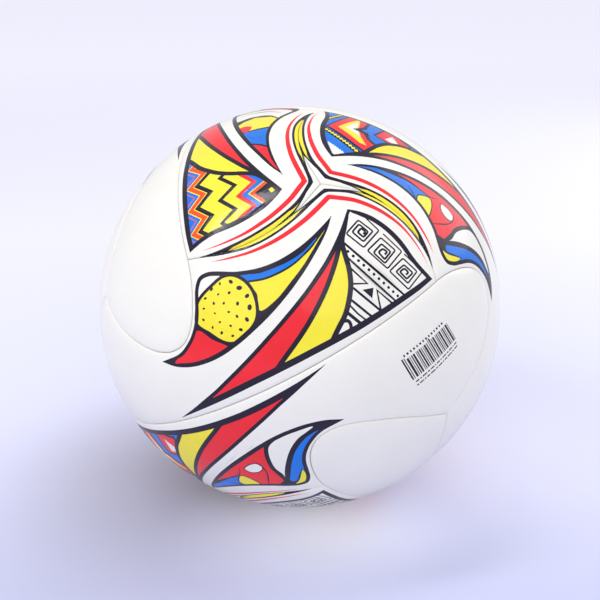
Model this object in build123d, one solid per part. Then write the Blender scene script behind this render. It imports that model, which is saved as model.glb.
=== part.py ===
from build123d import *
import math
import os

import numpy as np

os.makedirs("parts", exist_ok=True)

# Size 5 football, twelve machine-stitched panels over a butyl bladder.
# Frame: origin at the ball's centre, +Z up, the ball resting on its lowest point.
# All lengths in millimetres.

# ---------------------------------------------------------------- driving dimensions
BALL_R = 110.0            # outside radius of the covers
COVER_T = 1.2             # printed outer cover of a panel
FOAM_T = 2.5              # foam backing under each cover
LINING_T = 0.8            # woven lining laminated to the foam
GLUE_T = 0.2              # adhesive film between two layers
FLANGE_H = 1.5            # height of the turned-in seam edge inside the lining
FLANGE_W = 1.1            # thickness of the turned-in seam edge
SEAM_GAP = 0.4            # gap between two neighbouring panels
THREAD_D = 0.6            # seam thread
THREAD_END = 1.2          # each run of thread stops this far from a seam junction
THREAD_CLEAR = 0.3        # seam thread to the turned-in edges and to the bladder
BLADDER_T = 0.9           # bladder wall

VALVE_HOLE_R = 4.75       # hole through the panel for the valve
HOUSING_R = 4.5           # outside radius of the valve housing
HOUSING_TOP = 0.35        # the housing's rim sits this far below the cover's face
HOUSING_LEN = 18.0        # length of the housing along the valve axis
HOUSING_CHAMFER = 0.4     # outer edge of the rim
HOUSING_FLANGE_R = 15.0   # moulded flange that seals the housing to the bladder
HOUSING_FLANGE_T = 1.1
FLANGE_CLEAR = 0.05       # flange to the bladder's inner face
COLLAR_W = 1.6            # collar round the housing, under the flange
COLLAR_H = 2.2
COLLAR_OVERLAP = 0.3      # how far the collar runs into the flange
PLUG_R = 2.55             # self-sealing plug inside the housing
PLUG_TOP = 0.15           # the plug's head sits this far below the rim
PLUG_HEAD_R = 3.45
PLUG_HEAD_T = 1.8
PLUG_HEAD_GAP = 0.1       # under the plug's head
PLUG_LEN = 14.5
PLUG_CHAMFER = 0.6        # inner end of the plug
PLUG_CLEAR = 0.05         # running clearance of plug to housing, on radius
SHANK_OVERLAP = 0.01      # how far the plug's shank runs into its head
NEEDLE_R = 1.05           # port for a 2.0 mm inflating needle
NEEDLE_DEPTH = 7.0
PATCH_R = 17.0            # reinforcing patch between lining and bladder at the valve
PATCH_T = 0.7
BALANCE_R = 13.0          # balance patch opposite the valve, inside the bladder
BALANCE_T = 1.6

CUT_OVER = 1.0            # how far a bore's cutter runs past an open end
AXIS_SPAN = (50, 120)     # distances from the centre that span every layer
WEDGE_SPAN = (38.0, 116.0)  # end planes of a panel's wedge, from the centre
TOLERANCE = 0.01          # for picking edges and matching seams

R_COVER_IN = BALL_R - COVER_T
R_FOAM_OUT = R_COVER_IN - GLUE_T
R_FOAM_IN = R_FOAM_OUT - FOAM_T
R_LINING_OUT = R_FOAM_IN - GLUE_T
R_LINING_IN = R_LINING_OUT - LINING_T
R_PATCH = R_LINING_IN - GLUE_T
R_FLANGE_IN = R_LINING_IN - FLANGE_H
R_THREAD = R_FLANGE_IN - THREAD_D / 2 - THREAD_CLEAR
R_BLADDER = R_THREAD - THREAD_D / 2 - THREAD_CLEAR
R_BLADDER_IN = R_BLADDER - BLADDER_T
R_BALANCE = R_BLADDER_IN - GLUE_T

# ---------------------------------------------------------------- panel layout
# The twelve panels are one shape in the twelve positions of the tetrahedral
# rotation group. Four three-way corners carry the curved arms; four plain
# three-way corners sit opposite them; twelve T corners join arm and side seams.
ALPHA = math.radians(54.3)    # half the arc of the long side seam
# Seam shapes: degrees along, and degrees to the left of (seen from outside),
# the great circle that joins the seam's two ends.
HOOK = [(0, 0), (-0.55, 4), (-0.5, 8), (0.1, 12), (1.1, 15.1), (2.6, 17.5),
        (4.7, 19.3), (7.2, 20.2), (9.8, 20.4), (12.4, 20.0), (15.1, 19.1),
        (18.2, 17.5), (21.5, 15.4), (24.7, 12.9), (27.8, 10.0), (30.7, 6.8),
        (33.5, 3.5), (36.32, 0)]
ARM = [(0, 0), (3.6, 1.9), (7.0, 3.6), (10.5, 4.8), (14.2, 5.6), (18, 5.9),
       (21.7, 5.7), (25.4, 4.9), (29.1, 3.7), (32.8, 2.0), (36.32, 0)]

SPLINE_SAMPLES = 801      # points read off a seam's spline before even spacing
CHORD_ERROR = 0.12        # panels are faceted: a seam bends less than this in a facet
SHORT_FACET = 0.4         # a last facet shorter than this share of the one before is evened out


def unit(vectors):
    """A vector, or each row of an array, scaled to length one."""
    vectors = np.asarray(vectors, float)
    return vectors / np.linalg.norm(vectors, axis=-1, keepdims=True)


STAR = unit((1, 1, 1))                                    # corner of three arms
PLAIN = unit((1, 1, -1))                                  # corner of three hooks
TEE = np.array((math.cos(ALPHA), math.sin(ALPHA), 0.0))   # T corner
# A hook leaves its T corner in line with the side seam.
HOOK_START = np.array((-math.sin(ALPHA), math.cos(ALPHA), 0.0))


def cubic(knots, values, places, start_slope=None):
    """Cubic spline through values at knots, read at places; natural ends unless a slope is given."""
    count, gaps = len(knots), np.diff(knots)
    slopes = np.diff(values, axis=0) / gaps[:, None]
    matrix, target = np.zeros((count, count)), np.zeros((count, values.shape[1]))
    for i in range(1, count - 1):
        matrix[i, i - 1:i + 2] = gaps[i - 1], 2 * (gaps[i - 1] + gaps[i]), gaps[i]
        target[i] = 6 * (slopes[i] - slopes[i - 1])
    matrix[0, 0] = matrix[-1, -1] = 1
    if start_slope is not None:
        matrix[0, 0], matrix[0, 1] = 2 * gaps[0], gaps[0]
        target[0] = 6 * (slopes[0] - start_slope)
    bends = np.linalg.solve(matrix, target)     # second derivatives at the knots
    out = []
    for place in places:
        i = min(max(int(np.searchsorted(knots, place)) - 1, 0), count - 2)
        past, left, gap = place - knots[i], knots[i + 1] - place, gaps[i]
        out.append((bends[i] * left**3 + bends[i + 1] * past**3) / (6 * gap)
                   + (values[i] / gap - bends[i] * gap / 6) * left
                   + (values[i + 1] / gap - bends[i + 1] * gap / 6) * past)
    return np.array(out)


def distances(points):
    """Distance of each point from the first, measured along the chords."""
    return np.concatenate([[0], np.cumsum(np.linalg.norm(np.diff(points, axis=0), axis=1))])


def resample(points, count, margin=0.0):
    """Evenly spaced points along a line of points, leaving a margin at both ends."""
    along = distances(points)
    places = np.linspace(margin, along[-1] - margin, count)
    return np.stack([np.interp(places, along, points[:, k]) for k in range(3)], 1)


def seam(start, end, table, count, start_slope=None):
    """A seam on the unit sphere, as evenly spaced points from start to end."""
    side = unit(np.cross(start, end))
    ahead = np.cross(side, start)
    points = []
    for along, off in np.radians(table):
        on_circle = math.cos(along) * start + math.sin(along) * ahead
        points.append(on_circle * math.cos(off) + math.sin(off) * side)
    points = np.array(points)
    points[-1] = end
    knots = distances(points)
    places = np.linspace(0, knots[-1], SPLINE_SAMPLES)
    return unit(resample(unit(cubic(knots, points, places, start_slope)), count))


def side_arc(count):
    """The side seam, a great-circle arc from one T corner to the next."""
    angles = np.linspace(ALPHA, -ALPHA, count)
    return np.stack([np.cos(angles), np.sin(angles), 0 * angles], 1)


def stations(points):
    """The fewest of the fine points whose chords stay within CHORD_ERROR at the ball's face."""
    kept, here, last = [0], 0, len(points) - 1
    while here < last:
        reach = here + 1
        while reach < last:
            cut = unit(np.cross(points[here], points[reach + 1]))
            if np.abs(points[here:reach + 2] @ cut).max() * BALL_R > CHORD_ERROR:
                break
            reach += 1
        kept.append(reach)
        here = reach
    if len(kept) > 2 and kept[-1] - kept[-2] < SHORT_FACET * (kept[-2] - kept[-3]):
        kept[-2] = (kept[-1] + kept[-3]) // 2
    return points[kept]


hook_fine = seam(TEE, PLAIN, HOOK, 300, HOOK_START)
arm_fine = seam(STAR, TEE, ARM, 200)
hook = stations(hook_fine)
arm = stations(arm_fine)

# The panel's outline, clockwise from outside: arm, side seam, hook, hook, arm.
TURN_X = np.diag((1.0, -1.0, -1.0))
CYCLE = np.array([[0, 1, 0], [0, 0, 1], [1, 0, 0.0]])
OUTLINE = [
    arm,
    side_arc(5),
    hook @ TURN_X.T,
    (hook @ CYCLE.T)[::-1],
    (arm @ CYCLE.T)[::-1],
]
PANEL_AXIS = unit((0.875, 0.0, 0.484))

# Twelve positions: cyclic changes of axes, each with an even number of sign changes.
POSITIONS = [
    np.diag(signs) @ np.eye(3)[list(order)]
    for order in ((0, 1, 2), (1, 2, 0), (2, 0, 1))
    for signs in ((1, 1, 1), (1, -1, -1), (-1, 1, -1), (-1, -1, 1))
]

# How the ball has come to rest: rotation from the panel layout's axes to the frame,
# squared up to an exact rotation and then rolled about X.
TURN = np.array([[-0.2122, 0.8463, -0.4887],
                 [-0.3698, 0.3933, 0.8417],
                 [0.9046, 0.3593, 0.2295]])
ROLL = math.radians(65.0)
turn_left, _, turn_right = np.linalg.svd(TURN)
REST = np.array([[1, 0, 0],
                 [0, math.cos(ROLL), -math.sin(ROLL)],
                 [0, math.sin(ROLL), math.cos(ROLL)]]) @ (turn_left @ turn_right)

# The panel is cut in a working frame whose -X axis is the panel's axis, so that the
# ball's poles and its own seam line stay clear of the panel.
back = -PANEL_AXIS
east = unit(np.cross((0, 0, 1.0), back))
WORK = np.array([back, east, np.cross(back, east)])       # layout -> working frame


# ---------------------------------------------------------------- shared shapes
def shell(outer, inner):
    return Sphere(outer) - Sphere(inner)


def rod(radius, z0, z1):
    """Cylinder on the Z axis between two distances from the ball's centre."""
    return Pos(0, 0, (z0 + z1) / 2) * Cylinder(radius, z1 - z0)


def through_rod(radius):
    """Rod that passes through every layer on the +Z side."""
    return rod(radius, *AXIS_SPAN)


def cap(outer, inner, radius):
    """Round, domed piece of a shell, centred on +Z."""
    return shell(outer, inner) & through_rod(radius)


def circles_at(shape, radius, z):
    """Circular edges of the given radius at the given height."""
    return [e for e in shape.edges().filter_by(GeomType.CIRCLE)
            if abs(e.center().Z - z) < TOLERANCE and abs(e.radius - radius) < TOLERANCE]


def one_solid(shape):
    """The largest solid of a result."""
    return max(shape.solids(), key=lambda s: s.volume)


def placement(matrix):
    """Location whose rotation is the given matrix."""
    return Plane(origin=(0, 0, 0), x_dir=tuple(matrix[:, 0]), z_dir=tuple(matrix[:, 2])).location


def facing(direction):
    """Location at the ball's centre that turns +Z to a direction."""
    return Plane(origin=(0, 0, 0), z_dir=tuple(direction)).location


def save(shape, name):
    export_step(shape, f"parts/{name}.step")


# ---------------------------------------------------------------- panel
def inset(distance):
    """The outline moved inwards by distance (mm at the ball's face), as a ring of points."""
    ring = np.concatenate([edge[:-1] for edge in OUTLINE])
    out = []
    for i, here in enumerate(ring):
        normal_in = unit(np.cross(ring[i - 1], here))
        normal_out = unit(np.cross(here, ring[(i + 1) % len(ring)]))
        mitre = (normal_in + normal_out) / (1 + normal_in @ normal_out)
        out.append(unit(here - distance / BALL_R * mitre))
    return np.array(out)


def wedge(distance):
    """Everything inside the inset outline, seen from the ball's centre."""
    ring = inset(distance) @ WORK.T
    inner, outer = [[Vector(*(p * (reach / -p[0]))) for p in ring] for reach in WEDGE_SPAN]
    loops = [inner, outer]
    for i in range(len(ring)):
        j = (i + 1) % len(ring)
        loops.append([inner[i], inner[j], outer[j], outer[i]])
    faces = [Face(Wire.make_polygon(loop, close=True)) for loop in loops]
    solid = Solid(Shell(faces))
    return solid if solid.volume > 0 else Solid(Shell([-f for f in faces]))


def panel_layers():
    """Cover, foam and lining of one panel in the working frame, by file label."""
    panel_wedge = wedge(SEAM_GAP / 2)
    core_wedge = wedge(SEAM_GAP / 2 + FLANGE_W)
    # The lining turns inwards all round; the core hollows it out inside that edge.
    lining = ((shell(R_LINING_OUT, R_FLANGE_IN) & panel_wedge)
              - (Sphere(R_LINING_IN) & core_wedge))
    return {
        "cover_panel": one_solid(shell(BALL_R, R_COVER_IN) & panel_wedge),
        "foam_backing": one_solid(shell(R_FOAM_OUT, R_FOAM_IN) & panel_wedge),
        "lining_cloth": one_solid(lining),
    }


# ---------------------------------------------------------------- valve and bladder
# These are built with the valve axis on +Z.
# The valve stands in the plain lobe of one panel, clear of every seam.
VALVE_PANEL = 4           # its place in POSITIONS
VALVE_LON, VALVE_LAT = math.radians(-38.0), math.radians(17.0)
valve_dir = REST @ POSITIONS[VALVE_PANEL] @ np.array((
    math.cos(VALVE_LAT) * math.cos(VALVE_LON),
    math.cos(VALVE_LAT) * math.sin(VALVE_LON),
    math.sin(VALVE_LAT)))
valve_location = facing(valve_dir)

Z_RIM = BALL_R - HOUSING_TOP
Z_PLUG = Z_RIM - PLUG_TOP


def valve_housing():
    bottom = Z_RIM - HOUSING_LEN
    flange_in = R_BLADDER_IN - HOUSING_FLANGE_T
    housing = rod(HOUSING_R, bottom, Z_RIM)
    housing += rod(HOUSING_R + COLLAR_W, flange_in - COLLAR_H, flange_in + COLLAR_OVERLAP)
    housing += cap(R_BLADDER_IN - FLANGE_CLEAR, flange_in, HOUSING_FLANGE_R)
    housing -= rod(PLUG_R + PLUG_CLEAR, bottom - CUT_OVER, Z_RIM + CUT_OVER)
    housing -= rod(PLUG_HEAD_R + PLUG_CLEAR, Z_PLUG - PLUG_HEAD_T - PLUG_HEAD_GAP,
                   Z_RIM + CUT_OVER)
    return chamfer(circles_at(housing, HOUSING_R, Z_RIM), HOUSING_CHAMFER)


def valve_plug():
    tip = Z_PLUG - PLUG_LEN
    plug = rod(PLUG_R, tip, Z_PLUG - PLUG_HEAD_T + SHANK_OVERLAP)
    plug += rod(PLUG_HEAD_R, Z_PLUG - PLUG_HEAD_T, Z_PLUG)
    plug -= rod(NEEDLE_R, Z_PLUG - NEEDLE_DEPTH, Z_PLUG + CUT_OVER)
    return chamfer(circles_at(plug, PLUG_R, tip), PLUG_CHAMFER)


def valve_patch():
    return cap(R_PATCH, R_PATCH - PATCH_T, PATCH_R) - through_rod(VALVE_HOLE_R)


def bladder():
    return shell(R_BLADDER, R_BLADDER_IN) - through_rod(HOUSING_R)


def balance_patch():
    return cap(R_BALANCE, R_BALANCE - BALANCE_T, BALANCE_R)


# ---------------------------------------------------------------- seam thread
def thread_run(points):
    """A run of thread that follows the seam, just inside the turned-in edges."""
    trimmed = resample(points, len(points), margin=THREAD_END / BALL_R)
    path = Spline(*[Vector(*p) for p in unit(trimmed) * R_THREAD])
    start = Plane(origin=path @ 0, z_dir=path % 0)
    return sweep(start * RegularPolygon(THREAD_D / 2, 8), path=path)


def same_seam(seam_a, seam_b):
    middle = seam_a[len(seam_a) // 2]
    return min(np.linalg.norm(seam_b - middle, axis=1)) < TOLERANCE


def seam_threads(points, count):
    """One run of thread under each seam of a kind, its path drawn through count points."""
    run = thread_run(resample(points, count))
    seams, runs = [], []
    for position in POSITIONS:
        image = points @ position.T
        # Two positions can share one seam; it gets a single run.
        if any(same_seam(image, other) for other in seams):
            continue
        seams.append(image)
        runs.append(one_solid(placement(REST @ position) * run))
    return Compound(children=runs)


# ---------------------------------------------------------------- pieces into place
layers = panel_layers()
valve_hole = valve_location * through_rod(VALVE_HOLE_R)
for index, position in enumerate(POSITIONS):
    location = placement(REST @ position @ WORK.T)
    for label, layer in layers.items():
        placed = location * layer
        if index == VALVE_PANEL:
            placed = one_solid(placed - valve_hole)
        save(placed, f"{label}_{index + 1:02d}")

save(seam_threads(arm_fine, 9), "arm_seam_thread")
save(seam_threads(hook_fine, 18), "hook_seam_thread")
save(seam_threads(side_arc(300), 12), "side_seam_thread")

for build in (bladder, valve_housing, valve_plug, valve_patch):
    save(one_solid(valve_location * build()), build.__name__)
save(one_solid(facing(-valve_dir) * balance_patch()), "balance_patch")
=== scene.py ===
"""A printed ball of twelve alike panels, centred on the origin.

The floor touches it from below and the camera looks along +Y, from 25 degrees up. Shapes are
worked out in millimetres and turned into metres as the meshes are made. One panel is laid out
on the sphere, printed and meshed in a flat chart, then turned into its twelve places.
"""
import math
from functools import cache

import bpy
import numpy as np
from mathutils import Matrix, Vector
from mathutils.geometry import delaunay_2d_cdt


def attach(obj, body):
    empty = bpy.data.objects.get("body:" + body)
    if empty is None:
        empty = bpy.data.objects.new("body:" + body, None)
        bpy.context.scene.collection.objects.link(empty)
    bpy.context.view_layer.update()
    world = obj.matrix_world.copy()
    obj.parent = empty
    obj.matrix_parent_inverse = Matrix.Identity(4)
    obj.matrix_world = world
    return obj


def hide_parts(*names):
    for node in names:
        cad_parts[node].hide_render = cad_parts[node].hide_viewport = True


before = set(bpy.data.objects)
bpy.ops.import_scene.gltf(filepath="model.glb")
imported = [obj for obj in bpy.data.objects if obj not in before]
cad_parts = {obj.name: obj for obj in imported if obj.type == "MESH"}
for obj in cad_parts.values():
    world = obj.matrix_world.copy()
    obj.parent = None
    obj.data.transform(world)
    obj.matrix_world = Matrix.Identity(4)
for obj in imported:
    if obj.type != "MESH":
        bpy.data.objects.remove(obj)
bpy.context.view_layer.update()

# ------------------------------------------------------------------ dimensions (mm)
MM = 0.001                    # metres in a millimetre
BALL_R = 110.0
BASE_R = 109.72               # face of a cover before its crown
CROWN, CROWN_RUN = 0.26, 9.0  # a panel's middle over its rim, and how fast it gets there
SAG_W, SAG_H = 6.5, 0.42      # width and depth of the soft dip beside a seam
ROLL_W, ROLL_H = 0.75, 0.62   # width and depth of the tight roll into the crease
PINCH_W, PINCH_H = 1.3, 0.13  # reach and depth of the dimple each stitch pulls
EDGE_IN = 0.10                # a panel's edge to the seam's centre
STITCH = 3.8                  # stitch pitch
COVER_T = 1.2
FOAM_GAP = 0.28               # under the cover to the top of the foam
FOAM_REACH = 2.7              # under the cover to the underside of the foam
FOAM_MIN_R = 106.05           # the foam's underside goes no deeper than this
HOLE_R = 4.75                 # valve hole in a cover and its foam
HOLE_SIDES = 48
HOLE_DIP_W, HOLE_DIP_H = 0.9, 0.3
VALVE_TOP_R = 109.65
VALVE_SEAT_R = 101.5          # sphere that the valve's flange follows
VIEW_TILT = math.radians(25.0)  # camera's height over the horizon

# ------------------------------------------------------------------ seams on the unit sphere
TEE_ANGLE = math.radians(54.3)
# degrees along the great circle between a seam's ends, degrees away from it
HOOK = [(0, 0), (-0.55, 4), (-0.5, 8), (0.1, 12), (1.1, 15.1), (2.6, 17.5),
        (4.7, 19.3), (7.2, 20.2), (9.8, 20.4), (12.4, 20.0), (15.1, 19.1),
        (18.2, 17.5), (21.5, 15.4), (24.7, 12.9), (27.8, 10.0), (30.7, 6.8),
        (33.5, 3.5), (36.32, 0)]
ARM = [(0, 0), (3.6, 1.9), (7.0, 3.6), (10.5, 4.8), (14.2, 5.6), (18, 5.9),
       (21.7, 5.7), (25.4, 4.9), (29.1, 3.7), (32.8, 2.0), (36.32, 0)]
FINE = 801                    # points along a finely drawn seam


def unit(vector):
    vector = np.asarray(vector, float)
    return vector / np.linalg.norm(vector)


def on_sphere(points):
    return points / np.linalg.norm(points, axis=1)[:, None]


def cubic_spline(knots, values, at, start_slope=None):
    """Natural cubic through the values at the knots; a start slope may be given instead."""
    count, gaps = len(knots), np.diff(knots)
    system, right = np.zeros((count, count)), np.zeros((count, values.shape[1]))
    slopes = np.diff(values, axis=0) / gaps[:, None]
    for i in range(1, count - 1):
        system[i, i - 1:i + 2] = gaps[i - 1], 2 * (gaps[i - 1] + gaps[i]), gaps[i]
        right[i] = 6 * (slopes[i] - slopes[i - 1])
    system[0, 0] = system[-1, -1] = 1
    if start_slope is not None:
        system[0, :2] = 2 * gaps[0], gaps[0]
        right[0] = 6 * (slopes[0] - start_slope)
    bends = np.linalg.solve(system, right)
    out = []
    for x in at:
        i = min(max(int(np.searchsorted(knots, x)) - 1, 0), count - 2)
        past, ahead, gap = x - knots[i], knots[i + 1] - x, gaps[i]
        out.append((bends[i] * ahead**3 + bends[i + 1] * past**3) / (6 * gap)
                   + (values[i] / gap - bends[i] * gap / 6) * ahead
                   + (values[i + 1] / gap - bends[i + 1] * gap / 6) * past)
    return np.array(out)


def lengths(points):
    """Length of a polyline up to each of its points."""
    pieces = np.linalg.norm(np.diff(points, axis=0), axis=1)
    return np.concatenate([[0], np.cumsum(pieces)])


def tangents(line):
    return on_sphere(np.gradient(line, axis=0))


def point_at(distance, run, line):
    return np.array([np.interp(distance, run, line[:, axis]) for axis in range(3)])


def seam(start, end, table, start_slope=None):
    side = unit(np.cross(start, end))
    ahead = np.cross(side, start)
    knots = []
    for along, away in table:
        a, o = math.radians(along), math.radians(away)
        on_circle = math.cos(a) * start + math.sin(a) * ahead
        knots.append(on_circle * math.cos(o) + math.sin(o) * side)
    knots = np.array(knots)
    knots[-1] = end
    run = lengths(knots)
    return on_sphere(cubic_spline(run, knots, np.linspace(0, run[-1], FINE), start_slope))


def evenly(line, spacing):
    """A fine seam as points about spacing mm apart."""
    run = lengths(line)
    count = max(3, int(round(run[-1] * BALL_R / spacing)) + 1)
    places = np.linspace(0, run[-1], count)
    return on_sphere(np.stack([np.interp(places, run, line[:, k]) for k in range(3)], 1))


# Three arms meet at a star corner, three hooks at a plain one, and all three kinds at a tee.
STAR, PLAIN = unit((1, 1, 1)), unit((1, 1, -1))
TEE = np.array((math.cos(TEE_ANGLE), math.sin(TEE_ANGLE), 0.0))
side_angles = np.linspace(TEE_ANGLE, -TEE_ANGLE, FINE)
HOOK_START = np.array((-math.sin(TEE_ANGLE), math.cos(TEE_ANGLE), 0.0))
SEAMS = {
    "arm": seam(STAR, TEE, ARM),
    "hook": seam(TEE, PLAIN, HOOK, HOOK_START),
    "side": np.stack([np.cos(side_angles), np.sin(side_angles), 0 * side_angles], 1),
}

# Half a turn about X, and a third of a turn about the star corner.
TURN_X = np.diag((1.0, -1.0, -1.0))
CYCLE = np.array([[0, 1, 0], [0, 0, 1], [1, 0, 0.0]])

arm, hook = evenly(SEAMS["arm"], 1.0), evenly(SEAMS["hook"], 1.0)
# A panel's outline, seam by seam, and the place its stitches are counted from.
OUTLINE = [
    (arm, "start"),
    (evenly(SEAMS["side"], 1.3), "middle"),
    (hook @ TURN_X.T, "start"),
    ((hook @ CYCLE.T)[::-1], "end"),
    ((arm @ CYCLE.T)[::-1], "end"),
]


def stitch_counts(points, origin):
    run = lengths(points) * BALL_R
    if origin == "end":
        return run[-1] - run
    return np.abs(run - run.mean()) if origin == "middle" else run


RING = np.concatenate([points[:-1] for points, _ in OUTLINE])
# Stitch phase (mm) at the two ends of each outline segment.
phases = [stitch_counts(*edge) for edge in OUTLINE]
PHASE_START = np.concatenate([phase[:-1] for phase in phases])
PHASE_END = np.concatenate([phase[1:] for phase in phases])


def panel_turns():
    """The twelve rotations that carry the first panel to each panel's place."""
    turns = []
    for order in ((0, 1, 2), (1, 2, 0), (2, 0, 1)):
        for signs in ((1, 1, 1), (1, -1, -1), (-1, 1, -1), (-1, -1, 1)):
            turn = np.zeros((3, 3))
            for i, j in enumerate(order):
                turn[i, j] = signs[i]
            turns.append(turn)
    return turns


def resting_turn():
    """How the ball lies: its turn in the camera's axes, then those axes tilted into the world."""
    measured = np.array([[-0.2122, 0.8463, -0.4887],
                         [-0.3698, 0.3933, 0.8417],
                         [0.9046, 0.3593, 0.2295]])
    left, _, right = np.linalg.svd(measured)   # the nearest true rotation is left @ right
    sine, cosine = math.sin(VIEW_TILT), math.cos(VIEW_TILT)
    return np.array([[1, 0, 0], [0, sine, -cosine], [0, cosine, sine]]) @ (left @ right)


TURNS = panel_turns()
REST = resting_turn()

# ------------------------------------------------------------------ a panel's flat chart (mm)
# A stereographic chart about AXIS, x to the east and y to the north.
AXIS = unit((0.875, 0.0, 0.484))
EAST = unit(np.cross((0, 0, 1.0), AXIS))
NORTH = np.cross(AXIS, EAST)


def to_chart(points):
    cosine = np.clip(points @ AXIS, -1, 1)
    scale = 2 * BALL_R / (1 + cosine)
    return np.stack([scale * (points @ EAST), scale * (points @ NORTH)], 1)


def to_sphere(flat):
    flat = np.asarray(flat, float)
    spread = (flat**2).sum(1) / (4 * BALL_R * BALL_R)
    cosine = (1 - spread) / (1 + spread)
    scale = (1 + cosine) / (2 * BALL_R)
    return cosine[:, None] * AXIS + scale[:, None] * (flat[:, :1] * EAST + flat[:, 1:] * NORTH)


def inset_ring(distance):
    """The panel's outline moved inwards by distance mm: points on the sphere, as one ring."""
    before, after = np.roll(RING, 1, 0), np.roll(RING, -1, 0)
    out1, out2 = on_sphere(np.cross(before, RING)), on_sphere(np.cross(RING, after))
    mitre = (out1 + out2) / (1 + (out1 * out2).sum(1))[:, None]
    return on_sphere(RING - distance / BALL_R * mitre)


def rim_distance(points):
    """Distance (mm) from points on the sphere to the outline, and the stitch phase there."""
    start = RING * BALL_R
    span = np.roll(RING, -1, 0) * BALL_R - start
    span_squared = (span**2).sum(1)
    distance, phase = np.zeros(len(points)), np.zeros(len(points))
    batch = 1500              # keeps the distance tables small
    for low in range(0, len(points), batch):
        some = points[low:low + batch] * BALL_R
        away = some[:, None] - start[None]
        part_way = np.clip((away * span[None]).sum(2) / span_squared[None], 0, 1)
        gaps = np.linalg.norm(away - part_way[..., None] * span[None], axis=2)
        nearest = gaps.argmin(1)
        rows = np.arange(len(some))
        distance[low:low + batch] = gaps[rows, nearest]
        phase[low:low + batch] = (PHASE_START[nearest] + (PHASE_END[nearest]
                                  - PHASE_START[nearest]) * part_way[rows, nearest])
    return distance, phase


def face_radius(distance, phase):
    """Radius of a cover's face: a crowned panel with a rolled, stitched edge."""
    edge = np.clip(1 - (distance - EDGE_IN) / ROLL_W, 0, 1)
    drop = ROLL_H * (1 - np.sqrt(np.clip(1 - edge * edge, 0, 1)))
    drop += SAG_H * np.clip(1 - distance / SAG_W, 0, 1)**2.4
    pull = 0.5 + 0.5 * np.cos(2 * math.pi * phase / STITCH)
    pinch = PINCH_H * pull * np.exp(-(distance / PINCH_W)**2)
    crown = CROWN * (1 - np.exp(-distance / CROWN_RUN))
    return BASE_R + crown - drop - pinch


# ------------------------------------------------------------------ drawing on the chart
WHITE, NAVY, YELLOW, RED, BLUE, ORANGE = range(6)
CURVE_STEP = 1.3              # spacing of points on a smoothed curve


def smooth(points, closed=False):
    """A uniform Catmull-Rom curve through the points."""
    knots = np.asarray(points, float)
    if closed:
        padded = np.vstack([knots[-1], knots, knots[0], knots[1]])
    else:
        padded = np.vstack([2 * knots[0] - knots[1], knots, 2 * knots[-1] - knots[-2]])
    out = []
    for i in range(1, len(padded) - 2):
        a, b, c, d = padded[i - 1:i + 3]
        steps = max(1, int(round(np.linalg.norm(c - b) / CURVE_STEP)))
        for j in range(steps):
            x = j / steps
            out.append(0.5 * (2 * b + (c - a) * x + (2 * a - 5 * b + 4 * c - d) * x * x
                              + (3 * b - a - 3 * c + d) * x**3))
    if not closed:
        out.append(knots[-1])
    return np.array(out)


def normals(points, closed=False):
    """Mitred normals, to the left of a polyline."""
    if closed:
        before, after = points - np.roll(points, 1, 0), np.roll(points, -1, 0) - points
    else:
        pieces = np.diff(points, axis=0)
        before, after = np.vstack([pieces[:1], pieces]), np.vstack([pieces, pieces[-1:]])
    sides = []
    for run in (before, after):
        run = run / np.maximum(np.linalg.norm(run, axis=1), 1e-9)[:, None]
        sides.append(np.stack([-run[:, 1], run[:, 0]], 1))
    spread = 1 + (sides[0] * sides[1]).sum(1)
    return (sides[0] + sides[1]) / np.maximum(spread, 0.45)[:, None]


def shifted(points, distance):
    """Points moved to their left by distance."""
    return points + normals(points) * distance


def look_up(table, places):
    """Second column of a table, interpolated at places along its first."""
    table = np.array(table, float)
    return np.interp(places, table[:, 0], table[:, 1])


def inside(polygon, x, y):
    hit = np.zeros(len(x), bool)
    for (ax, ay), (bx, by) in zip(polygon, np.roll(polygon, -1, 0)):
        if ay != by:
            cross = (ay > y) != (by > y)
            hit ^= cross & (x < (bx - ax) * (y - ay) / (by - ay) + ax)
    return hit


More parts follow.
